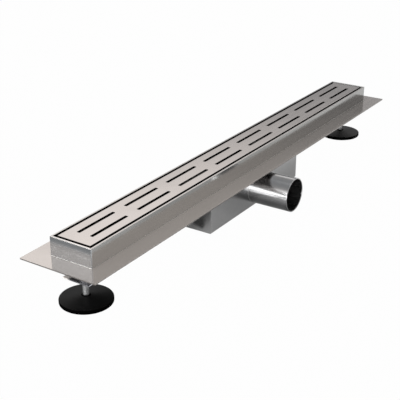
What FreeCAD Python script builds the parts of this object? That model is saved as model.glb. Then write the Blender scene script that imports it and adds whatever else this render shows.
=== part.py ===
import FreeCAD, Part
import math
import os

# Linear shower drain, in millimetres. The origin is the middle of the finished floor plane, where
# the rim and the cover lie flush. X runs along the channel, the outlet points to -Y and Z is up.
# "left" is the -X end. Depths and drops are measured downwards from the finished floor.

# Channel, rim and floor
channel_length = 750.0
channel_width = 62.5
sheet = 1.5
hem_depth = 8.0
rim_edge_radius = 0.5
fold_radius = 0.5
floor_fall = 1.9
floor_below_flange = 0.5
corner_radius = 0.5

# Sealing flange round the walls
flange_depth = 24.7
flange_reach = 25.7
flange_sheet = 1.5
flange_corner_radius = 1.0

# Slotted cover with turned-down skirts
cover_gap = 3.4
cover_sheet = 1.5
cover_edge_radius = 0.5
skirt_depth = 14.0
slots_per_row = 8
slot_length = 68.0
slot_width = 4.8
slot_corner_radius = 1.2
slot_pitch = 90.0
slot_row_spacing = 20.0

# Bridges and pads that carry the cover
support_width = 20.0
support_leg = 8.0
support_from_trap = 30.0
support_from_end = 43.5
pad_thickness = 1.5
pad_margin = 2.0
pad_side_gap = 3.0

# Trap box under the middle of the channel
trap_length = 247.0
trap_depth = 84.3
trap_fold_radius = 0.5
seat_step = 2.0
seat_border_ends = 12.0
seat_border_sides = 6.75
seat_corner_radius = 6.0

# Outlet spigot
pipe_radius = 25.0
pipe_wall = 1.5
pipe_reach = 62.75
pipe_axis_depth = 55.5
pipe_mouth_radius = 0.5

# Removable siphon insert
insert_side_gap = 1.25
insert_end_gap = 3.0
insert_corner_radius = 4.0
seal_thickness = 1.0
seal_border_ends = 10.0
seal_border_sides = 6.0
plate_thickness = 1.0
tube_length = 80.0
tube_width = 30.0
tube_sheet = 1.0
tube_end_depth = 68.0
cup_length = 104.0
cup_width = 46.0
cup_sheet = 1.0
cup_rim_depth = 46.0
cup_corner_radius = 6.0
cup_pad_height = 3.5
cup_pad_width = 8.0
cup_pad_from_end = 12.0

# Lifting handles and hair sieve on the insert
handle_span = 34.0
handle_height = 11.0
handle_strip = 8.0
handle_sheet = 1.0
handle_foot = 6.0
handle_from_end = 35.0
sieve_overlap = 7.0
sieve_height = 5.0
sieve_sheet = 1.0
sieve_corner_radius = 3.0
sieve_hole_radius = 2.0
sieve_hole_pitch = 7.0
sieve_edge = 4.0

# Adjustable feet
foot_inset = 22.6
bracket_width = 40.0
bracket_edge_inset = 5.2
bracket_length = 37.3
bracket_top_length = 20.0
bracket_depth = 54.5
bracket_sheet = 1.5
bracket_fold_radius = 1.5
bracket_hole_clearance = 0.5
rod_radius = 4.0
rod_top_depth = 38.0
rod_chamfer = 0.8
thread_clearance = 0.05
nut_across_flats = 13.0
weld_nut_height = 6.5
lock_nut_height = 4.0
nut_chamfer = 0.7
disc_radius = 33.5
disc_edge_height = 5.0
disc_edge_radius = 1.0
disc_bottom_depth = 87.5
disc_wall = 2.5
hub_radius = 6.0
hub_depth = 77.4
hub_chamfer = 1.0
hub_floor = 2.0
rib_count = 8
rib_thickness = 2.0

# Levels and half sizes that follow from the values above
half_length = channel_length / 2
half_width = channel_width / 2
end_face = half_length - sheet
wall_inner = half_width - sheet
hem_inner = wall_inner - sheet
flange_underside = -(flange_depth + flange_sheet)
floor_underside_at_end = flange_underside - floor_below_flange
floor_underside_at_trap = floor_underside_at_end - floor_fall
seat_underside = floor_underside_at_trap - seat_step
seat_top = seat_underside + sheet
trap_half = trap_length / 2
trap_end_inner = trap_half - sheet
seat_half = trap_end_inner - sheet
cover_half_length = end_face - sheet - cover_gap
cover_half_width = hem_inner - cover_gap
support_top = -(skirt_depth + pad_thickness)
insert_half_length = seat_half - insert_end_gap
insert_half_width = wall_inner - insert_side_gap
plate_underside = seat_top + seal_thickness
plate_top = plate_underside + plate_thickness
tube_inner_length = tube_length - 2 * tube_sheet
tube_inner_width = tube_width - 2 * tube_sheet
trap_floor_top = -trap_depth + sheet
foot_x = half_length - foot_inset
tab_underside = -bracket_depth
tab_top = tab_underside + bracket_sheet


def vector(x, y, z):
    return FreeCAD.Vector(x, y, z)


def block(x0, x1, y0, y1, z0, z1):
    return Part.makeBox(x1 - x0, y1 - y0, z1 - z0, vector(x0, y0, z0))


def centred_block(half_x, half_y, z0, z1):
    return block(-half_x, half_x, -half_y, half_y, z0, z1)


def edges_along(shape, axis, test=lambda centre: True):
    """Straight edges parallel to an axis whose middle passes the test."""
    found = []
    for edge in shape.Edges:
        if len(edge.Vertexes) != 2:
            continue
        start, end = edge.Vertexes[0].Point, edge.Vertexes[1].Point
        direction = end.sub(start)
        if abs(abs(direction.normalize().dot(axis)) - 1) < 1e-6 and test((start + end) * 0.5):
            found.append(edge)
    return found


def rounded_slab(half_x, half_y, z0, z1, radius):
    """Plate with rounded corners, centred on the Z axis."""
    slab = centred_block(half_x, half_y, z0, z1)
    return slab.makeFillet(radius, edges_along(slab, vector(0, 0, 1)))


def folded_face(path, thickness, inner_radius, place):
    """Cut face of a sheet whose middle follows a path, with a round fold at each corner.

    place turns the two numbers of a path point into a point in space.
    """
    half = thickness / 2
    middle_radius = inner_radius + half
    points = [vector(a, b, 0) for a, b in path]
    sides = {half: [], -half: []}

    def unit(a, b):
        step = b.sub(a)
        return step.normalize()

    def left(direction):
        return vector(-direction.y, direction.x, 0)

    for offset, side in sides.items():
        first = unit(points[0], points[1])
        side.append((points[0] + left(first) * offset,))
        for before, corner, after in zip(points, points[1:], points[2:]):
            come, go = unit(before, corner), unit(corner, after)
            turn = 1 if come.cross(go).z > 0 else -1
            tangent = middle_radius * math.tan(come.getAngle(go) / 2)
            start, end = corner - come * tangent, corner + go * tangent
            centre = start + left(come) * (turn * middle_radius)
            bulge = (start - centre) + (end - centre)
            middle = centre + bulge.normalize() * middle_radius
            scale = (middle_radius - turn * offset) / middle_radius
            side.append(tuple(centre + (point - centre) * scale for point in (start, middle, end)))
        last = unit(points[-2], points[-1])
        side.append((points[-1] + left(last) * offset,))

    outline = sides[half] + [tuple(reversed(station)) for station in reversed(sides[-half])]
    edges = []
    for station, following in zip(outline, outline[1:] + outline[:1]):
        spots = [place(point.x, point.y) for point in station]
        if len(spots) == 3:
            edges.append(Part.Arc(*spots).toShape())
        edges.append(Part.LineSegment(spots[-1], place(following[0].x, following[0].y)).toShape())
    return Part.Face(Part.Wire(edges))


def folded_trough(half_y, thickness, inner_radius, x, bottom, top):
    """Face across a folded U with its outer sides at +-half_y, in the plane at x."""
    side = half_y - thickness / 2
    floor = bottom + thickness / 2
    path = [(-side, top), (-side, floor), (side, floor), (side, top)]
    return folded_face(path, thickness, inner_radius, lambda y, z: vector(x, y, z))


def floor_underside(x):
    """Level of the underside of the falling channel floor at x, beyond the trap."""
    share = (abs(x) - trap_end_inner) / (end_face - trap_end_inner)
    return floor_underside_at_trap + share * floor_fall


def mirrored(shape):
    """The same shape at the other end of the channel."""
    return shape.mirror(vector(0, 0, 0), vector(1, 0, 0))


def fused(shapes):
    return shapes[0].multiFuse(shapes[1:]).removeSplitter()


def turned(section):
    """Solid turned about the Z axis from a list of radii and levels."""
    outline = [vector(r, 0, z) for r, z in section + section[:1]]
    return Part.Face(Part.makePolygon(outline)).revolve(vector(0, 0, 0), vector(0, 0, 1), 360)


def hexagon(across_flats, z0, height):
    """Nut blank about the Z axis with its corners chamfered on the upper side."""
    corner = across_flats / math.sqrt(3)
    points = [vector(corner * math.cos(math.radians(60 * k)), corner * math.sin(math.radians(60 * k)), z0)
              for k in range(7)]
    blank = Part.Face(Part.makePolygon(points)).extrude(vector(0, 0, height))
    top = z0 + height
    limit = turned([(0, z0), (corner, z0), (corner, top - nut_chamfer), (across_flats / 2, top), (0, top)])
    return blank.common(limit)


def make_channel_body():
    """Trough folded from one sheet: doubled rim, walls, floor that falls to a lowered seat."""
    overlap_level = -(hem_depth + sheet)
    outer = centred_block(end_face, half_width, overlap_level - sheet, 0)
    inner = centred_block(end_face, wall_inner, overlap_level - sheet, -hem_depth)
    mouth = centred_block(end_face, hem_inner, -hem_depth, 0)
    walls = outer.cut(inner).cut(mouth)
    rim_edges = edges_along(walls, vector(1, 0, 0), lambda centre: abs(centre.z) < 1e-6)
    walls = walls.makeFillet(rim_edge_radius, rim_edges)

    run = folded_trough(half_width, sheet, fold_radius, end_face, floor_underside_at_end, overlap_level)
    falling = run.extrude(vector(trap_end_inner - end_face, 0, -floor_fall))
    seat = centred_block(trap_end_inner, half_width, seat_underside, overlap_level)
    seat = seat.cut(centred_block(seat_half, wall_inner, seat_top, overlap_level))
    over_floor = floor_underside_at_trap + sheet
    seat = seat.cut(centred_block(trap_end_inner, wall_inner, over_floor, overlap_level))
    body = fused([walls, falling, mirrored(falling), seat])

    opening = rounded_slab(seat_half - seat_border_ends, wall_inner - seat_border_sides,
                           seat_underside - sheet, seat_top + sheet, seat_corner_radius)
    return body.cut(opening)


def make_end_plate():
    """Right end wall with its doubled rim."""
    plate = block(end_face, half_length, -half_width, half_width, floor_underside_at_end, 0)
    plate = plate.makeFillet(corner_radius, edges_along(plate, vector(0, 0, 1), lambda c: c.x > end_face + 0.1))
    hem = block(end_face - sheet, end_face, -hem_inner, hem_inner, -hem_depth, 0)
    plate = fused([plate, hem])
    outer_edge = edges_along(plate, vector(0, 1, 0), lambda c: abs(c.z) < 1e-6 and c.x > half_length - 0.1)
    inner_edge = edges_along(plate, vector(0, 1, 0), lambda c: abs(c.z) < 1e-6 and c.x < end_face - 0.1)
    plate = plate.makeFillet(rim_edge_radius, inner_edge)
    outer_edge = edges_along(plate, vector(0, 1, 0), lambda c: abs(c.z) < 1e-6 and c.x > half_length - 0.1)
    return plate.makeChamfer(rim_edge_radius / 2, outer_edge)


def make_sealing_flange():
    plate = rounded_slab(half_length + flange_reach, half_width + flange_reach,
                         flange_underside, -flange_depth, flange_corner_radius)
    return plate.cut(centred_block(half_length, half_width, flange_underside, -flange_depth))


def slot(x, y):
    """Cutter for one slot with rounded corners."""
    cutter = rounded_slab(slot_length / 2, slot_width / 2, -2 * cover_sheet, cover_sheet, slot_corner_radius)
    cutter.translate(vector(x, y, 0))
    return cutter


def make_grate():
    """Cover folded like an upturned tray, with its slots."""
    cover = centred_block(cover_half_length, cover_half_width, -skirt_depth, 0)
    upright = edges_along(cover, vector(0, 0, 1))
    top = [edge for axis in (vector(1, 0, 0), vector(0, 1, 0))
           for edge in edges_along(cover, axis, lambda c: abs(c.z) < 1e-6)]
    cover = cover.makeFillet(cover_edge_radius, upright + top)
    hollow = centred_block(cover_half_length - cover_sheet, cover_half_width - cover_sheet,
                           -skirt_depth, -cover_sheet)
    cover = cover.cut(hollow)
    first = -slot_pitch * (slots_per_row - 1) / 2
    cutters = [slot(first + slot_pitch * k, row * slot_row_spacing / 2)
               for k in range(slots_per_row) for row in (-1, 1)]
    return cover.cut(Part.makeCompound(cutters))


def support_places():
    inner = trap_half + support_from_trap
    outer = end_face - support_from_end
    return [-outer, -inner, inner, outer]


def make_grate_support(x):
    """Bridge across the channel with its ends turned down along the walls."""
    side = wall_inner - sheet / 2
    web = support_top - sheet / 2
    path = [(-side, support_top - support_leg), (-side, web), (side, web), (side, support_top - support_leg)]
    start = x - support_width / 2
    face = folded_face(path, sheet, fold_radius, lambda y, z: vector(start, y, z))
    return face.extrude(vector(support_width, 0, 0))


def make_grate_pad(x):
    half_x = support_width / 2 - pad_margin
    half_y = wall_inner - pad_side_gap
    return block(x - half_x, x + half_x, -half_y, half_y, support_top, support_top + pad_thickness)


def make_trap_box_shell():
    """Front, bottom and back of the trap box, folded from one sheet, with the outlet hole."""
    face = folded_trough(half_width, sheet, trap_fold_radius, -trap_end_inner, -trap_depth, seat_underside)
    shell = face.extrude(vector(2 * trap_end_inner, 0, 0))
    hole = Part.makeCylinder(pipe_radius - pipe_wall, 3 * sheet,
                             vector(0, -half_width - sheet, -pipe_axis_depth), vector(0, 1, 0))
    return shell.cut(hole)


def make_trap_box_end():
    """Right end wall of the trap box, with its lower corners round like the folded shell."""
    plate = block(trap_end_inner, trap_half, -half_width, half_width, -trap_depth, floor_underside_at_trap)
    lower = edges_along(plate, vector(1, 0, 0), lambda c: c.z < -trap_depth + 0.1)
    return plate.makeFillet(trap_fold_radius + sheet, lower)


def make_outlet_pipe():
    centre = vector(0, -half_width, -pipe_axis_depth)
    outward = vector(0, -1, 0)
    pipe = Part.makeCylinder(pipe_radius, pipe_reach, centre, outward)
    pipe = pipe.cut(Part.makeCylinder(pipe_radius - pipe_wall, pipe_reach, centre, outward))
    mouth = [edge for edge in pipe.Edges
             if abs(edge.BoundBox.YMax + half_width + pipe_reach) < 1e-6 and edge.BoundBox.YLength < 1e-6]
    return pipe.makeFillet(pipe_mouth_radius, mouth)


def make_siphon_seal():
    outer = rounded_slab(insert_half_length, insert_half_width, seat_top, plate_underside, insert_corner_radius)
    inner = rounded_slab(insert_half_length - seal_border_ends, insert_half_width - seal_border_sides,
                         seat_top, plate_underside, insert_corner_radius)
    return outer.cut(inner)


def tube_opening(z0, z1):
    return rounded_slab(tube_inner_length / 2, tube_inner_width / 2, z0, z1, insert_corner_radius - tube_sheet)


def make_siphon_plate():
    plate = rounded_slab(insert_half_length, insert_half_width, plate_underside, plate_top,
                         insert_corner_radius)
    return plate.cut(tube_opening(plate_underside, plate_top))


def make_dip_tube():
    outer = rounded_slab(tube_length / 2, tube_width / 2, -tube_end_depth, plate_underside,
                         insert_corner_radius)
    return outer.cut(tube_opening(-tube_end_depth, plate_underside))


def make_siphon_cup():
    """Open cup that keeps the water seal, standing on two rubber strips."""
    bottom = trap_floor_top + cup_pad_height
    outer = rounded_slab(cup_length / 2, cup_width / 2, bottom, -cup_rim_depth, cup_corner_radius)
    inner = rounded_slab(cup_length / 2 - cup_sheet, cup_width / 2 - cup_sheet, bottom + cup_sheet,
                         -cup_rim_depth, cup_corner_radius - cup_sheet)
    return outer.cut(inner)


def make_cup_pad():
    """Rubber strip under the right half of the cup."""
    x = cup_length / 2 - cup_pad_from_end
    half_y = cup_width / 2 - cup_corner_radius
    return block(x - cup_pad_width / 2, x + cup_pad_width / 2, -half_y, half_y,
                 trap_floor_top, trap_floor_top + cup_pad_height)


def make_siphon_handle():
    """Strap handle on the right half of the insert plate."""
    low = plate_top + handle_sheet / 2
    high = plate_top + handle_height - handle_sheet / 2
    middle = insert_half_length - handle_from_end
    near, far = middle - handle_span / 2, middle + handle_span / 2
    path = [(near - handle_foot, low), (near, low), (near, high), (far, high), (far, low), (far + handle_foot, low)]
    face = folded_face(path, handle_sheet, handle_sheet, lambda x, z: vector(x, -handle_strip / 2, z))
    return face.extrude(vector(0, handle_strip, 0))


def make_hair_sieve():
    """Perforated sieve that stands over the dip tube like a low lid."""
    half_x = tube_length / 2 + sieve_overlap
    half_y = tube_width / 2 + sieve_overlap
    lid = rounded_slab(half_x, half_y, plate_top, plate_top + sieve_height, sieve_corner_radius)
    hollow = rounded_slab(half_x - sieve_sheet, half_y - sieve_sheet, plate_top,
                          plate_top + sieve_height - sieve_sheet, sieve_corner_radius - sieve_sheet)
    lid = lid.cut(hollow)
    reach_x = half_x - sieve_edge - sieve_hole_radius
    reach_y = half_y - sieve_edge - sieve_hole_radius
    columns = int(2 * reach_x // sieve_hole_pitch) + 1
    rows = int(2 * reach_y // sieve_hole_pitch) + 1
    holes = []
    for column in range(columns):
        for row in range(rows):
            x = (column - (columns - 1) / 2) * sieve_hole_pitch
            y = (row - (rows - 1) / 2) * sieve_hole_pitch
            holes.append(Part.makeCylinder(sieve_hole_radius, 2 * sieve_sheet,
                                           vector(x, y, plate_top + sieve_height - 1.5 * sieve_sheet)))
    return lid.cut(Part.makeCompound(holes))


def make_foot_bracket():
    """Right foot bracket: level tab, upright and a top strip welded under the falling floor."""
    tab_end = half_length - bracket_edge_inset
    upright = tab_end - bracket_length
    top_end = upright - bracket_top_length
    half = bracket_sheet / 2
    under_floor = half * math.hypot(1, floor_fall / (end_face - trap_end_inner))
    path = [(tab_end, tab_underside + half), (upright, tab_underside + half),
            (upright, floor_underside(upright) - under_floor),
            (top_end, floor_underside(top_end) - under_floor)]
    face = folded_face(path, bracket_sheet, bracket_fold_radius,
                       lambda x, z: vector(x, -bracket_width / 2, z))
    bracket = face.extrude(vector(0, bracket_width, 0))
    hole = Part.makeCylinder(rod_radius + bracket_hole_clearance, 3 * bracket_sheet,
                             vector(foot_x, 0, tab_underside - bracket_sheet))
    return bracket.cut(hole)


def make_nut(underside, height):
    """Nut round the right foot's rod."""
    nut = hexagon(nut_across_flats, underside, height)
    nut = nut.cut(Part.makeCylinder(rod_radius + thread_clearance, height, vector(0, 0, underside)))
    nut.translate(vector(foot_x, 0, 0))
    return nut


def rod_bottom_depth():
    return disc_bottom_depth - hub_floor


def make_foot_rod():
    length = rod_bottom_depth() - rod_top_depth
    rod = Part.makeCylinder(rod_radius, length, vector(foot_x, 0, -rod_bottom_depth()))
    top = [edge for edge in rod.Edges if edge.BoundBox.ZMin > -rod_top_depth - 0.1]
    return rod.makeChamfer(rod_chamfer, top)


def make_foot_disc():
    """Moulded right foot: sloping top with a hub for the rod, hollow underneath with ribs."""
    bottom = -disc_bottom_depth
    edge_top = bottom + disc_edge_height
    hub_edge = -hub_depth - hub_chamfer
    disc = turned([(0, bottom), (disc_radius, bottom), (disc_radius, edge_top), (hub_radius, hub_edge),
                   (hub_radius - hub_chamfer, -hub_depth), (0, -hub_depth)])
    rim = [edge for edge in disc.Edges
           if edge.BoundBox.ZLength < 1e-6 and abs(edge.BoundBox.XMax - disc_radius) < 1e-6]
    disc = disc.makeFillet(disc_edge_radius, rim)

    # The hollow follows the sloping top, one wall below it, between the hub and the outer ring.
    slope = (hub_edge - edge_top) / (disc_radius - hub_radius)
    inner, outer = hub_radius + disc_wall / 2, disc_radius - disc_wall
    ceiling = [(r, edge_top + slope * (disc_radius - r) - disc_wall) for r in (outer, inner)]
    hollow = turned([(inner, bottom), (outer, bottom)] + ceiling)
    ribs = []
    for k in range(rib_count):
        rib = block(0, disc_radius, -rib_thickness / 2, rib_thickness / 2, bottom, -hub_depth)
        rib.rotate(vector(0, 0, 0), vector(0, 0, 1), 360 * (k + 0.5) / rib_count)
        ribs.append(rib)
    disc = disc.cut(hollow.cut(Part.makeCompound(ribs)))
    socket_depth = rod_bottom_depth() - hub_depth
    disc = disc.cut(Part.makeCylinder(rod_radius, socket_depth, vector(0, 0, -rod_bottom_depth())))
    disc.translate(vector(foot_x, 0, 0))
    return disc


def build_pieces():
    """Every piece by its node name. A piece of the right end is mirrored for the left one."""
    pieces = {
        "channel_body": make_channel_body(),
        "sealing_flange": make_sealing_flange(),
        "grate": make_grate(),
        "trap_box_shell": make_trap_box_shell(),
        "outlet_pipe": make_outlet_pipe(),
        "siphon_seal": make_siphon_seal(),
        "siphon_plate": make_siphon_plate(),
        "dip_tube": make_dip_tube(),
        "siphon_cup": make_siphon_cup(),
        "hair_sieve": make_hair_sieve(),
    }
    for number, x in enumerate(support_places(), start=1):
        pieces[f"grate_support_{number}"] = make_grate_support(x)
        pieces[f"grate_pad_{number}"] = make_grate_pad(x)
    paired = {
        "end_plate": make_end_plate(),
        "trap_box_end": make_trap_box_end(),
        "cup_pad": make_cup_pad(),
        "siphon_handle": make_siphon_handle(),
        "foot_bracket": make_foot_bracket(),
        "weld_nut": make_nut(tab_top, weld_nut_height),
        "lock_nut": make_nut(tab_top + weld_nut_height, lock_nut_height),
        "foot_rod": make_foot_rod(),
        "foot_disc": make_foot_disc(),
    }
    for name, shape in paired.items():
        pieces[f"{name}_right"] = shape
        pieces[f"{name}_left"] = mirrored(shape)
    return pieces


os.makedirs("parts", exist_ok=True)
for name, shape in build_pieces().items():
    shape.exportStep(f"parts/{name}.step")
    print(name, "valid" if shape.isValid() else "NOT VALID", "solids", len(shape.Solids),
          "volume", round(shape.Volume, 1))
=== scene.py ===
import math

import bpy
from mathutils import Matrix, Vector


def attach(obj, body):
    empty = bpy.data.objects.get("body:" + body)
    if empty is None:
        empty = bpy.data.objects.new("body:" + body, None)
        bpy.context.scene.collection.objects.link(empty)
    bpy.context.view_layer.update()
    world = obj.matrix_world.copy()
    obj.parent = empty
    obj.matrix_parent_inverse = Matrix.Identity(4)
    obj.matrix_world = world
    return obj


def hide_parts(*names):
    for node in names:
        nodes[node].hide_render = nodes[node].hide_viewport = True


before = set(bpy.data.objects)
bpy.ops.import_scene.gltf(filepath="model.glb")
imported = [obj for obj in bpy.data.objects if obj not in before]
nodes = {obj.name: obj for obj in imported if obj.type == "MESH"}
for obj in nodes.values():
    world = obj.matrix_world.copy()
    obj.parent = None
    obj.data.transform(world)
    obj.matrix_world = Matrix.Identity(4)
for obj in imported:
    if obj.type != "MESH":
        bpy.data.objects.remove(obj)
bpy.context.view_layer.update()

# Sizes in metres. They follow the drain's own frame: finished floor at z 0, X along the channel.
FLANGE_LEVEL = -0.0247
CHANNEL_HALF_LENGTH = 0.375
CHANNEL_HALF_WIDTH = 0.03125
INSIDE_HALF_LENGTH = 0.3722
INSIDE_HALF_WIDTH = 0.0288
PIPE_RADIUS = 0.025
PIPE_AXIS_LEVEL = -0.0555
FOOT_X = 0.3524
ROD_RADIUS = 0.004
ROD_BOTTOM = -0.0855
ROD_TOP = -0.038
ROD_CHAMFER = 0.001
THREAD_PITCH = 0.00125
THREAD_DEPTH = 0.00002
THREAD_SIDES = 33
THREAD_ROWS_PER_PITCH = 7

# The thread's wave rises to half of its pitch. It is cut a little below that, softly, and then scaled.
CREST_CUT, CREST_SOFTNESS, CREST_GAIN = 0.42, 0.1, 2.2

# Points closer than this are one point.
SAME_POINT = 1e-6

# Weld beads: radius, and how deep they ripple. Their thickness also wanders by a share.
END_BEAD = (0.0006, 0.01)
SIDE_BEAD = (0.00025, 0.03)
PIPE_BEAD_RADIUS = 0.0003
PIPE_BEAD_STEPS = 96
BEAD_SIDES = 8
BEAD_WANDER, BEAD_LEAST, WANDER_SCALE = 0.06, 0.96, 90.0

# Depth of the band round the rim that is painted darker and how softly it ends, and where the matt grey lip
# inside it starts, above the painted shade.
RIM_BAND = 0.0052
RIM_BAND_SOFTNESS = 0.0022
LIP_TOP = 0.0002

# Seams between the trough's walls and its falling floor run: along X, across Y and up Z.
SEAM_X = (0.1225, 0.1775)
SEAM_Y = (0.02973, 0.03127)
SEAM_Z = (-0.0119, -0.0105)


# Node helpers

def put(tree, kind, links=None, values=None, **settings):
    """Adds a node, sets its options and its input values and links outputs into its inputs."""
    made = tree.nodes.new(kind)
    for name, value in settings.items():
        setattr(made, name, value)
    for name, value in (values or {}).items():
        made.inputs[name].default_value = value
    for name, source in (links or {}).items():
        tree.links.new(source, made.inputs[name])
    return made


def math_node(tree, operation, first, second=None, third=None, clamp=False):
    """Output of a math node, whose inputs are numbers or outputs."""
    made = put(tree, "ShaderNodeMath", operation=operation, use_clamp=clamp)
    for place, value in enumerate((first, second, third)):
        if value is None:
            continue
        if isinstance(value, (int, float)):
            made.inputs[place].default_value = value
        else:
            tree.links.new(value, made.inputs[place])
    return made.outputs[0]


def product(tree, *factors):
    """Product of outputs or numbers."""
    result = factors[0]
    for factor in factors[1:]:
        result = math_node(tree, "MULTIPLY", result, factor)
    return result


def remap(tree, value, low, high, to_low=0.0, to_high=1.0):
    """Soft step of a value between two limits, either of which may be an output of a node."""
    made = put(tree, "ShaderNodeMapRange", {"Value": value}, {"To Min": to_low, "To Max": to_high},
               interpolation_type="SMOOTHSTEP")
    for label, limit in (("From Min", low), ("From Max", high)):
        if isinstance(limit, (int, float)):
            made.inputs[label].default_value = limit
        else:
            tree.links.new(limit, made.inputs[label])
    return made.outputs["Result"]


def blend_colour(tree, share, first, second):
    """Colour between two colours or colour outputs."""
    made = put(tree, "ShaderNodeMix", data_type="RGBA")
    for socket, value in ((made.inputs[0], share), (made.inputs[6], first), (made.inputs[7], second)):
        if isinstance(value, (int, float)):
            socket.default_value = value
        elif isinstance(value, tuple):
            socket.default_value = (*value, 1.0)
        else:
            tree.links.new(value, socket)
    return made.outputs[2]


def axes_of(tree, vector):
    """X, Y and Z outputs of a vector output."""
    return put(tree, "ShaderNodeSeparateXYZ", {"Vector": vector}).outputs


def scaled(colour, factor):
    """Colour times a factor, no brighter than white."""
    return tuple(min(1.0, part * factor) for part in colour)


def new_group(name, inputs, outputs):
    """Shader node group with named sockets, given as (name, kind, start value)."""
    group = bpy.data.node_groups.new(name, "ShaderNodeTree")
    kinds = {"number": "NodeSocketFloat", "vector": "NodeSocketVector"}
    for label, kind, start in inputs:
        socket = group.interface.new_socket(label, in_out="INPUT", socket_type=kinds[kind])
        if start is not None:
            socket.default_value = start
    for label, kind in outputs:
        group.interface.new_socket(label, in_out="OUTPUT", socket_type=kinds[kind])
    return group, group.nodes.new("NodeGroupInput").outputs, group.nodes.new("NodeGroupOutput").inputs


# Effects shared by the finishes. Each range is where a mask starts and where it is full.

CORNER_RANGE = (0.03, 0.2)
PATCH_RANGE = (0.45, 0.72)
SPECK_RANGE = (0.66, 0.78)

# Faces that lean down further than this take no painted shade inside the trough.
INSIDE_SHADE_LEAN = -0.5


def make_brushed_grain():
    """Fine lines drawn out along one direction, and broader streaks of the same direction."""
    group, given, result = new_group(
        "brushed_grain",
        [("Position", "vector", None), ("Line Scale", "vector", (12.0, 2600.0, 2600.0)),
         ("Streak Scale", "vector", (3.0, 160.0, 160.0))],
        [("Lines", "number"), ("Streaks", "number")])
    for label, scale, detail in (("Lines", "Line Scale", 2.0), ("Streaks", "Streak Scale", 3.0)):
        stretched = put(group, "ShaderNodeVectorMath", operation="MULTIPLY")
        group.links.new(given["Position"], stretched.inputs[0])
        group.links.new(given[scale], stretched.inputs[1])
        noise = put(group, "ShaderNodeTexNoise", {"Vector": stretched.outputs[0]},
                    {"Scale": 1.0, "Detail": detail, "Roughness": 0.6})
        group.links.new(noise.outputs["Fac"], result[label])
    return group


def make_edge_highlight_and_rounding():
    """Mask on edges, for a painted highlight and smoother wear, a normal that rounds them, and a mask on
    upright rounded corners, for painted shade.
    """
    group, given, result = new_group(
        "edge_highlight_and_rounding",
        [("Width", "number", 0.0008), ("Strength", "number", 4.0)],
        [("Edge", "number"), ("Normal", "vector"), ("Corner", "number")])
    rounded = put(group, "ShaderNodeBevel", {"Radius": given["Width"]}, samples=4)
    surface = put(group, "ShaderNodeNewGeometry")
    match = put(group, "ShaderNodeVectorMath", operation="DOT_PRODUCT")
    group.links.new(rounded.outputs["Normal"], match.inputs[0])
    group.links.new(surface.outputs["Normal"], match.inputs[1])
    turned = math_node(group, "SUBTRACT", 1.0, match.outputs["Value"], clamp=True)
    group.links.new(math_node(group, "MULTIPLY", turned, given["Strength"], clamp=True), result["Edge"])
    group.links.new(rounded.outputs["Normal"], result["Normal"])
    lean = axes_of(group, surface.outputs["Normal"])
    slant = math_node(group, "ABSOLUTE", product(group, lean["X"], lean["Y"]))
    group.links.new(remap(group, slant, *CORNER_RANGE), result["Corner"])
    return group


def make_smudges():
    """Soft patches from handling, and small specks of dust."""
    group, given, result = new_group(
        "smudges",
        [("Position", "vector", None), ("Patch Scale", "number", 14.0), ("Speck Scale", "number", 420.0)],
        [("Patches", "number"), ("Specks", "number")])
    patches = put(group, "ShaderNodeTexNoise", {"Vector": given["Position"], "Scale": given["Patch Scale"]},
                  {"Detail": 4.0, "Roughness": 0.55, "Distortion": 0.4})
    group.links.new(remap(group, patches.outputs["Fac"], *PATCH_RANGE), result["Patches"])
    specks = put(group, "ShaderNodeTexNoise", {"Vector": given["Position"], "Scale": given["Speck Scale"]},
                 {"Detail": 2.0, "Roughness": 0.7})
    group.links.new(remap(group, specks.outputs["Fac"], *SPECK_RANGE), result["Specks"])
    return group


def make_lean_belt():
    """Mask on faces whose normal leans between two heights: 1 faces up, -1 faces down."""
    group, given, result = new_group(
        "lean_belt", [("Low", "number", -0.85), ("High", "number", 0.85), ("Softness", "number", 0.001)],
        [("Belt", "number")])
    height = axes_of(group, put(group, "ShaderNodeNewGeometry").outputs["Normal"])["Z"]
    above = remap(group, height, math_node(group, "SUBTRACT", given["Low"], given["Softness"]),
                  math_node(group, "ADD", given["Low"], given["Softness"]))
    below = remap(group, height, math_node(group, "ADD", given["High"], given["Softness"]),
                  math_node(group, "SUBTRACT", given["High"], given["Softness"]))
    group.links.new(product(group, above, below), result["Belt"])
    return group


def make_inside_shade():
    """Masks on the trough's inside: painted shade in its recess, and a matt grey lip above it."""
    group, given, result = new_group(
        "inside_shade",
        [("Position", "vector", None), ("Half Length", "number", INSIDE_HALF_LENGTH),
         ("Half Width", "number", INSIDE_HALF_WIDTH), ("Depth", "number", -0.0005)],
        [("Inside", "number"), ("Lip", "number")])
    spot = axes_of(group, given["Position"])
    facing = axes_of(group, put(group, "ShaderNodeNewGeometry").outputs["Normal"])["Z"]
    along = math_node(group, "LESS_THAN", math_node(group, "ABSOLUTE", spot["X"]), given["Half Length"])
    across = math_node(group, "LESS_THAN", math_node(group, "ABSOLUTE", spot["Y"]), given["Half Width"])
    depth = product(group, spot["Z"], -1.0)
    within = product(group, along, across, math_node(group, "GREATER_THAN", facing, INSIDE_SHADE_LEAN))
    inside = product(group, within, math_node(group, "GREATER_THAN", depth, given["Depth"]))
    group.links.new(inside, result["Inside"])
    lip = product(group, math_node(group, "GREATER_THAN", depth, LIP_TOP),
                  math_node(group, "SUBTRACT", within, inside))
    group.links.new(lip, result["Lip"])
    return group


def make_rim_top():
    """Mask on the top of the rim, down to a depth under the floor finish."""
    group, given, result = new_group(
        "rim_top",
        [("Position", "vector", None), ("Depth", "number", 0.0002), ("Softness", "number", 0.0002)],
        [("Top", "number")])
    depth = product(group, axes_of(group, given["Position"])["Z"], -1.0)
    group.links.new(remap(group, depth, math_node(group, "ADD", given["Depth"], given["Softness"]),
                          math_node(group, "SUBTRACT", given["Depth"], given["Softness"])), result["Top"])
    return group


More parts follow.
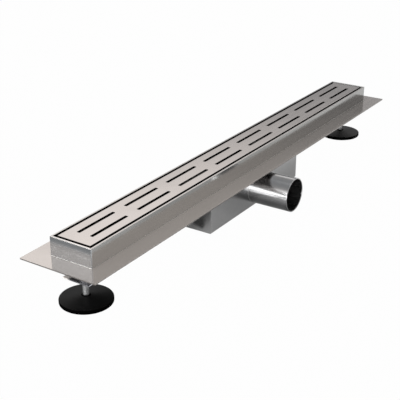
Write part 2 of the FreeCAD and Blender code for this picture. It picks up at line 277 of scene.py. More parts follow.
brushed_grain = make_brushed_grain()
edge_highlight_and_rounding = make_edge_highlight_and_rounding()
smudges = make_smudges()
lean_belt = make_lean_belt()
inside_shade = make_inside_shade()
rim_top = make_rim_top()


def place_group(tree, group, links=None, values=None):
    """Outputs of a shared effect placed in a finish with its own values."""
    return put(tree, "ShaderNodeGroup", links, values, node_tree=group).outputs


def new_finish(name):
    """Empty material with its shader and its Object coordinates."""
    finish = bpy.data.materials.new(name)
    finish.use_nodes = True
    tree = finish.node_tree
    shader = next(n for n in tree.nodes if n.type == "BSDF_PRINCIPLED")
    position = put(tree, "ShaderNodeTexCoord").outputs["Object"]
    return finish, tree, shader, position


# Finishes

# Colours of the painted shade on the steel, of the band round the rim, painted darker, and of the matt grey
# lip, and how much painted shade the trough's inside takes.
PAINTED_SHADE_TONE = (0.014, 0.014, 0.015)
RIM_BAND_TONE = (0.05, 0.05, 0.052)
INNER_LIP_TONE = (0.40, 0.40, 0.395)
INSIDE_SHADE_SHARE = 0.98

# The grain mixes streaks with lines. It runs from the darker to the lighter tone in one range of that
# mix and from the smoother to the rougher in another, and is a very low relief.
STREAK_SHARE = 0.6
GRAIN_TONES = (0.32, 0.68)
GRAIN_ROUGHS = (0.3, 0.7)
GRAIN_BUMP = 0.004
GRAIN_BUMP_DEPTH = 0.0004

# Shares of the colours of patches, of the painted highlight on edges and of the painted shade on corners,
# and what each effect adds to the roughness.
PATCH_SHARE, PATCH_TONE, EDGE_SHARE, CORNER_SHADE_TONE = 0.05, 0.55, 0.5, 0.3
GRAIN_ROUGH, PATCH_ROUGH, EDGE_ROUGH = 0.04, 0.03, -0.05
CORNER_ROUGH, LIP_ROUGH, SHADE_ROUGH = 0.35, 0.3, 0.2

# What the painted highlight at one end takes from the metallic share.
LIT_END_METAL = -0.9


def make_steel(name, colour, roughness, lines, streaks, patch_scale=14.0, edge_width=0.0003, contrast=0.02,
               metallic=1.0, edge_light=1.25, shade_belts=(), inside_depth=None, lit_rim_colour=None, band_dark=0.0,
               lit_end=None, corner_shade=0.0):
    """Stainless steel with drawn lines, handling marks and a painted highlight on its edges.

    Each shade belt is painted shade, a dark dull tone on faces of some lean: (strength, low, high,
    softness).
    The inside of the trough can take painted shade too, the band round the rim is painted a little darker,
    the upright corners take painted shade and more roughness, and one end of a piece a painted highlight:
    (colour, start, full) along Y.
    """
    finish, tree, shader, position = new_finish(name)
    grain = place_group(tree, brushed_grain, {"Position": position},
                        {"Line Scale": lines, "Streak Scale": streaks})
    marks = place_group(tree, smudges, {"Position": position}, {"Patch Scale": patch_scale})
    edge = place_group(tree, edge_highlight_and_rounding, values={"Width": edge_width})

    mix = math_node(tree, "MULTIPLY_ADD", grain["Streaks"], STREAK_SHARE,
                    product(tree, grain["Lines"], 1.0 - STREAK_SHARE))
    tone = blend_colour(tree, remap(tree, mix, *GRAIN_TONES),
                        scaled(colour, 1.0 - 2.0 * contrast), scaled(colour, 1.0 + contrast))
    tone = blend_colour(tree, product(tree, marks["Patches"], PATCH_SHARE), tone,
                        scaled(colour, PATCH_TONE))
    # Painted highlight on the edges, lifted or dimmed by edge_light.
    tone = blend_colour(tree, product(tree, edge["Edge"], EDGE_SHARE), tone,
                        scaled(colour, edge_light))
    # The band round the rim is painted a little darker.
    if band_dark:
        band = place_group(tree, rim_top, {"Position": position},
                           {"Depth": RIM_BAND, "Softness": RIM_BAND_SOFTNESS})["Top"]
        tone = blend_colour(tree, product(tree, band, band_dark), tone, RIM_BAND_TONE)
    # Painted highlight: the top of the rim is painted lighter than the walls of the same sheet.
    if lit_rim_colour:
        rim = place_group(tree, rim_top, {"Position": position})["Top"]
        tone = blend_colour(tree, rim, tone, lit_rim_colour)
    rough = math_node(tree, "MULTIPLY_ADD", remap(tree, mix, *GRAIN_ROUGHS), GRAIN_ROUGH,
                      roughness - GRAIN_ROUGH / 2)
    rough = math_node(tree, "MULTIPLY_ADD", marks["Patches"], PATCH_ROUGH, rough)
    rough = math_node(tree, "MULTIPLY_ADD", edge["Edge"], EDGE_ROUGH, rough, clamp=True)
    metal = metallic
    # Painted shade on the upright corners, which also get rougher.
    if corner_shade:
        corner = product(tree, edge["Corner"], corner_shade)
        tone = blend_colour(tree, corner, tone, scaled(colour, CORNER_SHADE_TONE))
        rough = math_node(tree, "MULTIPLY_ADD", corner, CORNER_ROUGH, rough)
    # Painted highlight: one end of the piece is painted bright and less metallic.
    if lit_end:
        bright, start, full = lit_end
        lit_end_mask = remap(tree, axes_of(tree, position)["Y"], start, full)
        tone = blend_colour(tree, lit_end_mask, tone, bright)
        metal = math_node(tree, "MULTIPLY_ADD", lit_end_mask, LIT_END_METAL, metal)
    # Painted shade: faces of the listed leans take a dark, duller tone.
    shade_masks = []
    for share, low, high, soft in shade_belts:
        belt = place_group(tree, lean_belt, values={"Low": low, "High": high, "Softness": soft})
        shade_masks.append((belt["Belt"], share))
    # Painted shade on the trough's inside, and a matt grey lip above it.
    if inside_depth is not None:
        inside_masks = place_group(tree, inside_shade, {"Position": position}, {"Depth": inside_depth})
        shade_masks.append((inside_masks["Inside"], INSIDE_SHADE_SHARE))
        tone = blend_colour(tree, inside_masks["Lip"], tone, INNER_LIP_TONE)
        rough = math_node(tree, "MULTIPLY_ADD", inside_masks["Lip"], LIP_ROUGH, rough)
        metal = math_node(tree, "MULTIPLY_ADD", inside_masks["Lip"], -1.0, metal, clamp=True)
    for mask, share in shade_masks:
        tone = blend_colour(tree, product(tree, mask, share), tone, PAINTED_SHADE_TONE)
        rough = math_node(tree, "MULTIPLY_ADD", mask, SHADE_ROUGH * share, rough, clamp=True)
    tree.links.new(tone, shader.inputs["Base Color"])
    tree.links.new(rough, shader.inputs["Roughness"])
    if isinstance(metal, float):
        shader.inputs["Metallic"].default_value = metal
    else:
        tree.links.new(metal, shader.inputs["Metallic"])

    relief = put(tree, "ShaderNodeBump", {"Height": mix, "Normal": edge["Normal"]},
                 {"Strength": GRAIN_BUMP, "Distance": GRAIN_BUMP_DEPTH})
    tree.links.new(relief.outputs["Normal"], shader.inputs["Normal"])
    return finish


def make_weld_steel():
    """Weld metal: bright ripples with a little straw and blue left by the heat."""
    finish, tree, shader, position = new_finish("weld_steel")
    marks = place_group(tree, smudges, {"Position": position}, {"Patch Scale": 60.0, "Speck Scale": 900.0})
    bright, straw, blue = (0.56, 0.55, 0.54), (0.48, 0.455, 0.42), (0.36, 0.38, 0.44)
    tint = blend_colour(tree, marks["Patches"], bright, straw)
    tint = blend_colour(tree, product(tree, marks["Specks"], 0.5), tint, blue)
    tree.links.new(tint, shader.inputs["Base Color"])
    tree.links.new(math_node(tree, "MULTIPLY_ADD", marks["Specks"], 0.1, 0.42), shader.inputs["Roughness"])
    shader.inputs["Metallic"].default_value = 1.0
    return finish


def make_zinc():
    """Bright zinc plating with its faint crystal patches."""
    finish, tree, shader, position = new_finish("zinc_steel")
    patches = put(tree, "ShaderNodeTexVoronoi", {"Vector": position}, {"Scale": 520.0}).outputs["Distance"]
    marks = place_group(tree, smudges, {"Position": position}, {"Patch Scale": 90.0, "Speck Scale": 700.0})
    edge = place_group(tree, edge_highlight_and_rounding, values={"Width": 0.0004})
    tone = blend_colour(tree, patches, (0.74, 0.745, 0.75), (0.80, 0.805, 0.81))
    tone = blend_colour(tree, product(tree, marks["Patches"], 0.12), tone, (0.48, 0.48, 0.48))
    tree.links.new(tone, shader.inputs["Base Color"])
    rough = math_node(tree, "MULTIPLY_ADD", patches, 0.04, 0.18)
    rough = math_node(tree, "MULTIPLY_ADD", marks["Patches"], 0.05, rough)
    tree.links.new(rough, shader.inputs["Roughness"])
    tree.links.new(edge["Normal"], shader.inputs["Normal"])
    shader.inputs["Metallic"].default_value = 0.8
    return finish


def make_moulded(name, colour, roughness, texture_scale, bump, dust, shine):
    """Moulded black plastic or rubber: fine texture, painted shade and less sheen on upright sides, a
    painted highlight on edges, a little dust in pale specks.
    """
    finish, tree, shader, position = new_finish(name)
    texture = put(tree, "ShaderNodeTexNoise", {"Vector": position},
                  {"Scale": texture_scale, "Detail": 3.0, "Roughness": 0.6}).outputs["Fac"]
    marks = place_group(tree, smudges, {"Position": position}, {"Patch Scale": 40.0, "Speck Scale": 1500.0})
    edge = place_group(tree, edge_highlight_and_rounding, values={"Width": 0.0006})
    upright = place_group(tree, lean_belt)["Belt"]
    pale_dust, side_shade_tone = (0.18, 0.17, 0.16), (0.0005, 0.0005, 0.0005)
    tone = blend_colour(tree, texture, scaled(colour, 0.8), scaled(colour, 1.25))
    # Painted highlight on the edges.
    tone = blend_colour(tree, product(tree, edge["Edge"], 0.35), tone, scaled(colour, 2.5))
    tone = blend_colour(tree, product(tree, marks["Specks"], dust), tone, pale_dust)
    # Painted shade on the upright sides.
    tone = blend_colour(tree, product(tree, upright, 0.8), tone, side_shade_tone)
    tree.links.new(tone, shader.inputs["Base Color"])
    rough = math_node(tree, "MULTIPLY_ADD", texture, 0.12, roughness - 0.06)
    rough = math_node(tree, "MULTIPLY_ADD", marks["Patches"], 0.08, rough)
    tree.links.new(rough, shader.inputs["Roughness"])
    relief = put(tree, "ShaderNodeBump", {"Height": texture, "Normal": edge["Normal"]},
                 {"Strength": bump, "Distance": 0.0002})
    tree.links.new(relief.outputs["Normal"], shader.inputs["Normal"])
    gloss = math_node(tree, "MULTIPLY_ADD", upright, -0.95 * shine, shine)
    tree.links.new(gloss, shader.inputs["Specular IOR Level"])
    return finish


# Directions of the drawn lines, and belts of painted shade as (strength, low, high, softness).
along_x = (14.0, 2400.0, 2400.0)
along_y = (2400.0, 14.0, 2400.0)
streaks_x = (2.5, 120.0, 120.0)
streaks_y = (120.0, 4.0, 120.0)
# Belts of painted shade: on the cover's cut sides and skirts, on the flange's edges, on faces that face
# down and on the pipe's lower flanks.
cut_side = (0.98, -0.85, 0.85, 0.001)
flange_edge = (0.55, -0.85, 0.85, 0.001)
underside = (0.7, -2.0, -0.5, 0.01)
pipe_flank = (0.62, -0.78, -0.2, 0.2)
# Painted shade: the trough's walls are painted darker than the flange, the cover and their own rim top.
shaded_trough_colour = (0.352, 0.352, 0.343)

cover_steel = make_steel("cover_steel", (0.63, 0.585, 0.56), 0.13, along_x, (3.0, 150.0, 150.0),
                         edge_light=0.85, shade_belts=[cut_side])
channel_steel = make_steel("channel_steel", shaded_trough_colour, 0.12, along_x, streaks_x, patch_scale=9.0,
                           shade_belts=[underside], inside_depth=-0.0005,
                           lit_rim_colour=(0.61, 0.58, 0.56), corner_shade=0.65)
seam_steel = make_steel("seam_steel", shaded_trough_colour, 0.12, along_x, streaks_x, patch_scale=9.0,
                        edge_width=0.00001, inside_depth=-0.0005)
# Painted shade: the end plates' walls are painted darker than their rim top, which takes a painted
# highlight.
end_steel = make_steel("end_steel", (0.475, 0.495, 0.51), 0.17, along_y, streaks_y, edge_light=0.6,
                       inside_depth=0.0015, lit_rim_colour=(0.87, 0.835, 0.81), band_dark=0.20, corner_shade=0.65)
# The bracket is painted dark, painted shade of the flange above it, and its end at +Y takes a painted
# highlight.
bracket_steel = make_steel("bracket_steel", (0.26, 0.26, 0.28), 0.14, along_y, streaks_y,
                           lit_end=((0.95, 0.90, 0.86), 0.007, 0.015))
flange_steel = make_steel("flange_steel", (0.65, 0.60, 0.57), 0.12, along_x, streaks_x, metallic=0.76,
                          edge_light=1.0, shade_belts=[flange_edge, underside])
trap_steel = make_steel("trap_steel", (0.60, 0.60, 0.60), 0.20, (300.0, 300.0, 300.0), (60.0, 60.0, 60.0),
                        edge_width=0.0001)
pipe_steel = make_steel("pipe_steel", (0.55, 0.55, 0.555), 0.21, (1800.0, 9.0, 1800.0), (160.0, 3.0, 160.0),
                        edge_width=0.0005, edge_light=1.6, shade_belts=[pipe_flank])
insert_steel = make_steel("insert_steel", (0.63, 0.625, 0.61), 0.30, (16.0, 2200.0, 2200.0),
                          (5.0, 180.0, 180.0), contrast=0.08)
weld_steel = make_weld_steel()
zinc_steel = make_zinc()
foot_plastic = make_moulded("foot_plastic", (0.004, 0.004, 0.004), roughness=0.34, texture_scale=1400.0,
                            bump=0.08, dust=0.012, shine=0.12)
seal_rubber = make_moulded("seal_rubber", (0.022, 0.022, 0.022), roughness=0.62, texture_scale=900.0,
                           bump=0.25, dust=0.25, shine=0.3)

finish_of = {
    "grate": cover_steel, "channel_body": channel_steel, "sealing_flange": flange_steel,
    "end_plate": end_steel, "grate_support": channel_steel, "foot_bracket": bracket_steel,
    "trap_box_shell": trap_steel, "trap_box_end": trap_steel, "outlet_pipe": pipe_steel,
    "siphon_plate": insert_steel, "dip_tube": insert_steel, "siphon_cup": insert_steel,
    "siphon_handle": insert_steel, "hair_sieve": insert_steel,
    "weld_nut": zinc_steel, "lock_nut": zinc_steel, "foot_rod": zinc_steel,
    "foot_disc": foot_plastic, "grate_pad": seal_rubber, "cup_pad": seal_rubber, "siphon_seal": seal_rubber,
}


def finish_for(name):
    """Finish of a node by its name, with or without the place word at its end."""
    return finish_of.get(name) or finish_of[name.rsplit("_", 1)[0]]


for name, node in nodes.items():
    node.data.materials.clear()
    node.data.materials.append(finish_for(name))


# Pieces made by rule

def new_form(name, inputs):
    """Geometry node tree with named inputs, its group input and its output."""
    tree = bpy.data.node_groups.new(name, "GeometryNodeTree")
    kinds = {"number": "NodeSocketFloat", "count": "NodeSocketInt", "vector": "NodeSocketVector",
             "finish": "NodeSocketMaterial", "form": "NodeSocketGeometry"}
    for label, kind, start in inputs:
        socket = tree.interface.new_socket(label, in_out="INPUT", socket_type=kinds[kind])
        if start is not None:
            socket.default_value = start
    tree.interface.new_socket("Form", in_out="OUTPUT", socket_type="NodeSocketGeometry")
    return tree, tree.nodes.new("NodeGroupInput").outputs, tree.nodes.new("NodeGroupOutput").inputs["Form"]


def end_form(tree, given, form, result):
    """Realized, smooth and painted form as the tree's result."""
    real = put(tree, "GeometryNodeRealizeInstances", {"Geometry": form})
    smooth = put(tree, "GeometryNodeSetShadeSmooth", {"Geometry": real.outputs[0]})
    painted = put(tree, "GeometryNodeSetMaterial",
                  {"Geometry": smooth.outputs[0], "Material": given["Finish"]})
    tree.links.new(painted.outputs[0], result)


def make_thread_form():
    """Threaded rod: a sheet of angle and height rolled up, its radius following the thread."""
    tree, given, result = new_form("threaded_rod", [
        ("Place", "vector", None), ("Length", "number", 0.05), ("Radius", "number", ROD_RADIUS),
        ("Pitch", "number", THREAD_PITCH), ("Depth", "number", THREAD_DEPTH),
        ("Sides", "count", THREAD_SIDES), ("Rows", "count", 300), ("Finish", "finish", None)])
    sheet = put(tree, "GeometryNodeMeshGrid", {"Size Y": given["Length"], "Vertices X": given["Sides"],
                                               "Vertices Y": given["Rows"]}, {"Size X": 2 * math.pi})
    spot = axes_of(tree, put(tree, "GeometryNodeInputPosition").outputs[0])
    angle = spot["X"]
    half = product(tree, given["Length"], 0.5)
    height = math_node(tree, "ADD", spot["Y"], half)

    # The crest is a triangle wave with its top cut flat.
    turns = math_node(tree, "DIVIDE", height, given["Pitch"])
    phase = math_node(tree, "SUBTRACT", turns, math_node(tree, "DIVIDE", angle, 2 * math.pi))
    wave = math_node(tree, "PINGPONG", phase, 0.5)
    crest = product(tree, math_node(tree, "SMOOTH_MIN", wave, CREST_CUT, CREST_SOFTNESS), CREST_GAIN)
    radius = math_node(tree, "ADD", math_node(tree, "SUBTRACT", given["Radius"], given["Depth"]),
                       product(tree, crest, given["Depth"]))

    # Both ends are chamfered and closed.
    from_end = math_node(tree, "SUBTRACT", half, math_node(tree, "ABSOLUTE", spot["Y"]))
    chamfer = math_node(tree, "ADD", math_node(tree, "SUBTRACT", given["Radius"], ROD_CHAMFER), from_end)
    radius = math_node(tree, "MINIMUM", math_node(tree, "MINIMUM", radius, given["Radius"]), chamfer)
    radius = product(tree, radius, math_node(tree, "GREATER_THAN", from_end, SAME_POINT))

    rolled = put(tree, "ShaderNodeCombineXYZ",
                 {"X": product(tree, math_node(tree, "COSINE", angle), radius),
                  "Y": product(tree, math_node(tree, "SINE", angle), radius),
                  "Z": height})
    placed = put(tree, "ShaderNodeVectorMath", operation="ADD")
    tree.links.new(rolled.outputs[0], placed.inputs[0])
    tree.links.new(given["Place"], placed.inputs[1])
    form = put(tree, "GeometryNodeSetPosition",
               {"Geometry": sheet.outputs["Mesh"], "Position": placed.outputs[0]})
    closed = put(tree, "GeometryNodeMergeByDistance", {"Geometry": form.outputs[0]},
                 {"Distance": SAME_POINT})
    end_form(tree, given, closed.outputs[0], result)
    return tree


def make_bead_form():
    """Weld bead along the edges of a loop, its thickness rippling along the way."""
    tree, given, result = new_form("weld_bead", [
        ("Path", "form", None), ("Radius", "number", 0.001), ("Step", "number", 0.0004),
        ("Ripple Length", "number", 0.0013), ("Ripple Depth", "number", 0.03), ("Finish", "finish", None)])
    path = put(tree, "GeometryNodeMeshToCurve", {"Mesh": given["Path"]})
    fine = put(tree, "GeometryNodeResampleCurve",
               {"Curve": path.outputs[0], "Length": given["Step"]}, mode="LENGTH")
    along = put(tree, "GeometryNodeSplineParameter")
    ripples = math_node(tree, "DIVIDE", along.outputs["Length"], given["Ripple Length"])
    wave = math_node(tree, "SINE", product(tree, 2 * math.pi, ripples))
    uneven = put(tree, "ShaderNodeTexNoise", {"W": along.outputs["Length"]},
                 {"Scale": WANDER_SCALE, "Detail": 1.0}, noise_dimensions="1D")
    swell = math_node(tree, "MULTIPLY_ADD", wave, given["Ripple Depth"],
                      math_node(tree, "MULTIPLY_ADD", uneven.outputs["Fac"], BEAD_WANDER, BEAD_LEAST))
    ring = put(tree, "GeometryNodeCurvePrimitiveCircle", values={"Resolution": BEAD_SIDES, "Radius": 1.0})
    swept = put(tree, "GeometryNodeCurveToMesh",
                {"Curve": fine.outputs[0], "Profile Curve": ring.outputs[0],
                 "Scale": product(tree, swell, given["Radius"])}, {"Fill Caps": True})
    end_form(tree, given, swept.outputs[0], result)
    return tree


def new_object(name, data):
    """Object linked into the scene."""
    made = bpy.data.objects.new(name, data)
    bpy.context.scene.collection.objects.link(made)
    return made


def grow(name, tree, values, base=None):
    """New object from a form tree, as a plain mesh."""
    start = new_object(name + "_start", base or bpy.data.meshes.new(name + "_start"))
    modifier = start.modifiers.new("form", "NODES")
    modifier.node_group = tree
    sockets = {item.name: item.identifier for item in tree.interface.items_tree if item.in_out == "INPUT"}
    for label, value in values.items():
        modifier[sockets[label]] = value
    bpy.context.view_layer.update()
    shown = start.evaluated_get(bpy.context.evaluated_depsgraph_get())
    mesh = bpy.data.meshes.new_from_object(shown)
    start.modifiers.clear()
    bpy.data.objects.remove(start)
    return new_object(name, mesh)


def settle(piece, replaced=None):
    """The piece rides with the drain and may stand for one of its nodes."""
    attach(piece, "root")
    if replaced:
        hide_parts(replaced)


def new_mesh(name, points, edges=(), faces=()):
    """Mesh of points with edges or faces between them."""
    mesh = bpy.data.meshes.new(name)
    mesh.from_pydata(points, edges, faces)
    return mesh


def line_mesh(name, lines):
    """Loose edges, one for each pair of points."""
    points = [point for line in lines for point in line]
    return new_mesh(name, points, [(k, k + 1) for k in range(0, len(points), 2)])


def loop_mesh(name, points):
    """Closed loop of edges."""
    count = len(points)
    return new_mesh(name, points, [(k, (k + 1) % count) for k in range(count)])


def blocks_mesh(name, blocks):
    """Closed blocks, each given as its ranges along X, Y and Z."""
    corners, faces = [], []
    for spans in blocks:
        first = len(corners)
        x_span, y_span, z_span = (sorted(span) for span in spans)
        corners += [(x, y, z) for z in z_span for y in y_span for x in x_span]
        faces += [tuple(first + k for k in face) for face in (
            (0, 2, 3, 1), (4, 5, 7, 6), (0, 1, 5, 4), (2, 6, 7, 3), (0, 4, 6, 2), (1, 3, 7, 5))]
    return new_mesh(name, corners, faces=faces)


thread_form = make_thread_form()
for side, x in (("left", -FOOT_X), ("right", FOOT_X)):
    length = ROD_TOP - ROD_BOTTOM
    rod = grow(f"threaded_rod_{side}", thread_form, {
        "Place": (x, 0.0, ROD_BOTTOM), "Length": length, "Radius": ROD_RADIUS, "Pitch": THREAD_PITCH,
        "Depth": THREAD_DEPTH, "Sides": THREAD_SIDES,
        "Rows": int(length / THREAD_PITCH * THREAD_ROWS_PER_PITCH) + 1, "Finish": zinc_steel})
    settle(rod, f"foot_rod_{side}")

bead_form = make_bead_form()
ends = [((x, -CHANNEL_HALF_WIDTH, FLANGE_LEVEL), (x, CHANNEL_HALF_WIDTH, FLANGE_LEVEL))
        for x in (-CHANNEL_HALF_LENGTH, CHANNEL_HALF_LENGTH)]
sides = [((-CHANNEL_HALF_LENGTH, y, FLANGE_LEVEL), (CHANNEL_HALF_LENGTH, y, FLANGE_LEVEL))
         for y in (-CHANNEL_HALF_WIDTH, CHANNEL_HALF_WIDTH)]
for place, lines, (radius, ripple) in (("end", ends, END_BEAD), ("side", sides, SIDE_BEAD)):
    bead = grow(f"{place}_bead", bead_form,
                {"Radius": radius, "Ripple Depth": ripple, "Finish": weld_steel},
                line_mesh(f"{place}_line", lines))
    settle(bead)

angles = [2 * math.pi * k / PIPE_BEAD_STEPS for k in range(PIPE_BEAD_STEPS)]
ring_line = loop_mesh("ring_line", [
    (PIPE_RADIUS * math.cos(angle), -CHANNEL_HALF_WIDTH, PIPE_AXIS_LEVEL + PIPE_RADIUS * math.sin(angle))
    for angle in angles])
pipe_bead = grow("pipe_bead", bead_form, {"Radius": PIPE_BEAD_RADIUS, "Finish": weld_steel}, ring_line)
settle(pipe_bead)

seams = [([side * x for x in SEAM_X], [wall * y for y in SEAM_Y], SEAM_Z)
         for side in (-1, 1) for wall in (-1, 1)]
wall_seams = new_object("wall_seams", blocks_mesh("wall_seams", seams))
wall_seams.data.materials.append(seam_steel)
settle(wall_seams)


# Studio: pale floor, soft lamps and the camera

STUDIO_FLOOR = -0.0875
FLOOR_REACH = 6.0

# Share of white that the camera sees on the floor and in the air, and that the metal sees in the air.
FLOOR_WHITE = 0.985
MIRRORED_AIR = 0.03

# The floor's colour is painted lighter from the near tone to the far one along X: a painted fall of light.
# What the metal mirrors of it is a base light, and outward of the drain a second light and a third one
# towards the near end. Each
# of the three is given along X: where it starts and where it is full, then its level at both places.
NEAR_TONE, FAR_TONE, TONE_SPAN = (0.40, 0.40, 0.402), (0.61, 0.61, 0.61), (-0.5, 0.7)
OUTWARD_SPAN = (-0.06, -0.13)
BASE_LIGHT = (-0.1, 0.6, 0.22, 0.34)
OUTWARD_LIGHT = (0.0, 0.5, 0.30, 0.68)
NEAR_END_LIGHT = (-0.08, -0.2, 0.0, 0.17)

# Zones on the floor that show in the metal: painted shadows under the pipe, in the shade and beneath the
# drain, glowing strips and a dark patch. Each of their borders has an axis, and the places where the zone
# starts and where it is full. The slanted axes follow the borders of the dark reflection on the trap box's
# end.
NEAR_SLANT, BOX_SLANT = 0.4426, 0.3
ZONES = {
    "under_pipe": [("outward", -0.12, -0.085), ("aside", 0.06, 0.03)],
    "near_strip": [("outward", -0.105, -0.095), ("outward", -0.028, -0.045), ("across", -0.34, -0.30)],
    "far_strip": [("outward", -0.16, -0.19), ("outward", -0.37, -0.33)],
    "glow_side": [("across", -0.118, -0.135)],
    "shade": [("across", -0.13, -0.115), ("across", 0.03, 0.01), ("outward", -0.127, -0.118),
              ("outward", -0.078, -0.086)],
    "beneath": [("across", -0.42, -0.38), ("outward", -0.018, 0.010), ("outward", 0.07, 0.05)],
    "dark_reflection": [("near_slant", -0.0705, -0.0685), ("box_slant", -0.1385, -0.1405),
                   ("across", -0.225, -0.215), ("outward", 0.035, 0.025)],
}

# How far each zone takes light away, and how bright the glowing strips are that the outlet pipe mirrors, a
# painted reflection.
UNDER_PIPE_DARK, SHADE_DARK, BENEATH_DARK = -0.2, -0.9, -0.85
DARK_REFLECTION_SHARE, BENEATH_BLACK_SHARE = 0.9, 0.12
GLOW_LIGHT = 4.0

# Light of the studio tent by height, from straight down to straight up: (place, level, tint).
COOL, WARM = (0.97, 0.99, 1.02), (1.02, 1.0, 0.985)
TENT = [
    (0.0, 0.28, COOL), (0.28, 0.315, COOL), (0.305, 0.315, COOL), (0.325, 0.39, COOL),
    (0.345, 0.60, WARM), (0.37, 0.84, WARM), (0.40, 1.02, WARM), (0.44, 1.2, WARM),
    (0.50, 1.15, WARM), (0.60, 0.36, WARM), (0.87, 0.29, COOL), (1.0, 0.29, COOL),
]

# Lamps: name, place, point that they face, size and power.
LAMPS = [
    ("top_softbox", (-0.2, 0.3, 2.4), (0.0, 0.0, 0.0), (0.9, 0.7), 3.0),
    ("side_softbox", (-1.7, -0.1, 0.08), (0.0, -0.05, 0.05), (2.4, 0.59), 22.3),
    ("high_softbox", (-1.7, 0.62, 0.49), (0.0, 0.1, 0.1), (0.75, 0.24), 4.2),
]

CAMERA_PLACE = (-1.06215127, -0.63383444, 0.46562158)
CAMERA_RIGHT = (0.55118635, -0.83438046, -0.00168989)
CAMERA_UP = (0.34104756, 0.22344449, 0.91310411)
CAMERA_AHEAD = (0.76149864, 0.50386685, -0.40772297)
CAMERA_LENS = 80.994
CAMERA_SENSOR = 36.0


def darkened(tree, light, zone, share):
    """Light that falls by a share inside a zone."""
    return product(tree, light, math_node(tree, "MULTIPLY_ADD", zone, share, 1.0))


def make_backdrop_finish():
    """Pale floor that looks white, keeps a soft shadow and shows in the metal a painted map of light and
    shadow.
    """
    finish, tree, shader, position = new_finish("pale_floor")
    output = next(n for n in tree.nodes if n.type == "OUTPUT_MATERIAL")
    spot = axes_of(tree, position)
    across, outward = spot["X"], spot["Y"]
    tone = blend_colour(tree, remap(tree, across, *TONE_SPAN), NEAR_TONE, FAR_TONE)
    tree.links.new(tone, shader.inputs["Base Color"])
    shader.inputs["Roughness"].default_value = 0.9
    shader.inputs["Specular IOR Level"].default_value = 0.1

    axes = {
        "across": across, "outward": outward, "aside": math_node(tree, "ABSOLUTE", across),
        "near_slant": math_node(tree, "MULTIPLY_ADD", across, NEAR_SLANT, outward),
        "box_slant": math_node(tree, "MULTIPLY_ADD", outward, BOX_SLANT, across),
    }
    zones = {name: product(tree, *[remap(tree, axes[axis], start, full) for axis, start, full in borders])
             for name, borders in ZONES.items()}
    strips = math_node(tree, "ADD", zones["near_strip"], zones["far_strip"])
    glow = product(tree, zones["glow_side"], strips)

    gain = math_node(tree, "ADD", remap(tree, across, *OUTWARD_LIGHT), remap(tree, across, *NEAR_END_LIGHT))
    mirrored = math_node(tree, "MULTIPLY_ADD", remap(tree, outward, *OUTWARD_SPAN), gain,
                         remap(tree, across, *BASE_LIGHT))
    mirrored = darkened(tree, mirrored, zones["under_pipe"], UNDER_PIPE_DARK)
    mirrored = darkened(tree, mirrored, zones["shade"], SHADE_DARK)
    mirrored = darkened(tree, mirrored, zones["beneath"], BENEATH_DARK)
    mirrored = math_node(tree, "ADD", mirrored, glow)

    path = put(tree, "ShaderNodeLightPath").outputs
    mirrored_glow = product(tree, glow, path["Is Glossy Ray"])
    white = put(tree, "ShaderNodeEmission",
                {"Strength": math_node(tree, "MULTIPLY_ADD", mirrored_glow, GLOW_LIGHT - 1.0, 1.0)})
    seen = product(tree, path["Is Camera Ray"], FLOOR_WHITE)
    seen = math_node(tree, "MULTIPLY_ADD", path["Is Glossy Ray"], mirrored, seen)
    seen = math_node(tree, "MULTIPLY_ADD", path["Is Transmission Ray"], mirrored, seen, clamp=True)
    lit = put(tree, "ShaderNodeMixShader", {0: seen, 1: shader.outputs[0], 2: white.outputs[0]})

    dark = math_node(tree, "MAXIMUM", product(tree, zones["dark_reflection"], DARK_REFLECTION_SHARE),
                     product(tree, zones["beneath"], BENEATH_BLACK_SHARE))
    black = put(tree, "ShaderNodeEmission", values={"Strength": 0.0})
    with_dark_reflection = put(tree, "ShaderNodeMixShader", {0: product(tree, dark, path["Is Glossy Ray"]),
                                               1: lit.outputs[0], 2: black.outputs[0]})
    tree.links.new(with_dark_reflection.outputs[0], output.inputs["Surface"])
    return finish


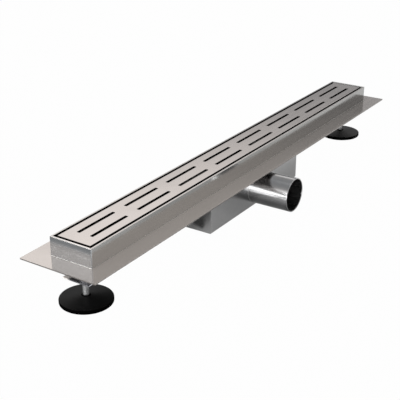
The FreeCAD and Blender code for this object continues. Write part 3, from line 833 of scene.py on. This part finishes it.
def make_world():
    """White to the camera. Its light fades from overhead down to the horizon, as in a studio tent."""
    world = bpy.data.worlds.new("studio")
    bpy.context.scene.world = world
    world.use_nodes = True
    tree = world.node_tree
    tent = next(n for n in tree.nodes if n.type == "BACKGROUND")
    height = axes_of(tree, put(tree, "ShaderNodeTexCoord").outputs["Generated"])["Z"]
    fade = put(tree, "ShaderNodeValToRGB", {"Fac": height})
    while len(fade.color_ramp.elements) < len(TENT):
        fade.color_ramp.elements.new(0.5)
    for stop, (place, level, tint) in zip(fade.color_ramp.elements, TENT):
        stop.position = place
        stop.color = (*(level * part for part in tint), 1.0)
    tree.links.new(fade.outputs["Color"], tent.inputs["Color"])
    white = put(tree, "ShaderNodeBackground", values={"Color": (1.0, 1.0, 1.0, 1.0), "Strength": 1.0})
    path = put(tree, "ShaderNodeLightPath").outputs
    seen = math_node(tree, "MULTIPLY_ADD", path["Is Glossy Ray"], MIRRORED_AIR, path["Is Camera Ray"])
    seen = math_node(tree, "MULTIPLY_ADD", path["Is Transmission Ray"], MIRRORED_AIR, seen, clamp=True)
    mixed = put(tree, "ShaderNodeMixShader", {0: seen, 1: tent.outputs[0], 2: white.outputs[0]})
    output = next(n for n in tree.nodes if n.type == "OUTPUT_WORLD")
    tree.links.new(mixed.outputs[0], output.inputs["Surface"])


def add_lamp(name, place, target, size, power):
    """Rectangular lamp that faces a point."""
    lamp = bpy.data.lights.new(name, "AREA")
    lamp.shape = "RECTANGLE"
    lamp.size, lamp.size_y = size
    lamp.energy = power
    holder = new_object(name, lamp)
    holder.location = place
    holder.rotation_euler = (Vector(target) - Vector(place)).to_track_quat("-Z", "Y").to_euler()


corners = [(-1, -1), (1, -1), (1, 1), (-1, 1)]
floor = new_object("floor", new_mesh(
    "floor", [(x * FLOOR_REACH, y * FLOOR_REACH, STUDIO_FLOOR) for x, y in corners], faces=[(0, 1, 2, 3)]))
floor.data.materials.append(make_backdrop_finish())
make_world()
for lamp in LAMPS:
    add_lamp(*lamp)

camera_data = bpy.data.cameras.new("camera")
camera_data.sensor_width = CAMERA_SENSOR
camera_data.lens = CAMERA_LENS
camera = new_object("camera", camera_data)
turn = Matrix((CAMERA_RIGHT, CAMERA_UP, -Vector(CAMERA_AHEAD))).transposed().to_4x4()
camera.matrix_world = Matrix.Translation(CAMERA_PLACE) @ turn
bpy.context.scene.camera = camera
bpy.context.scene.view_settings.view_transform = "Standard"
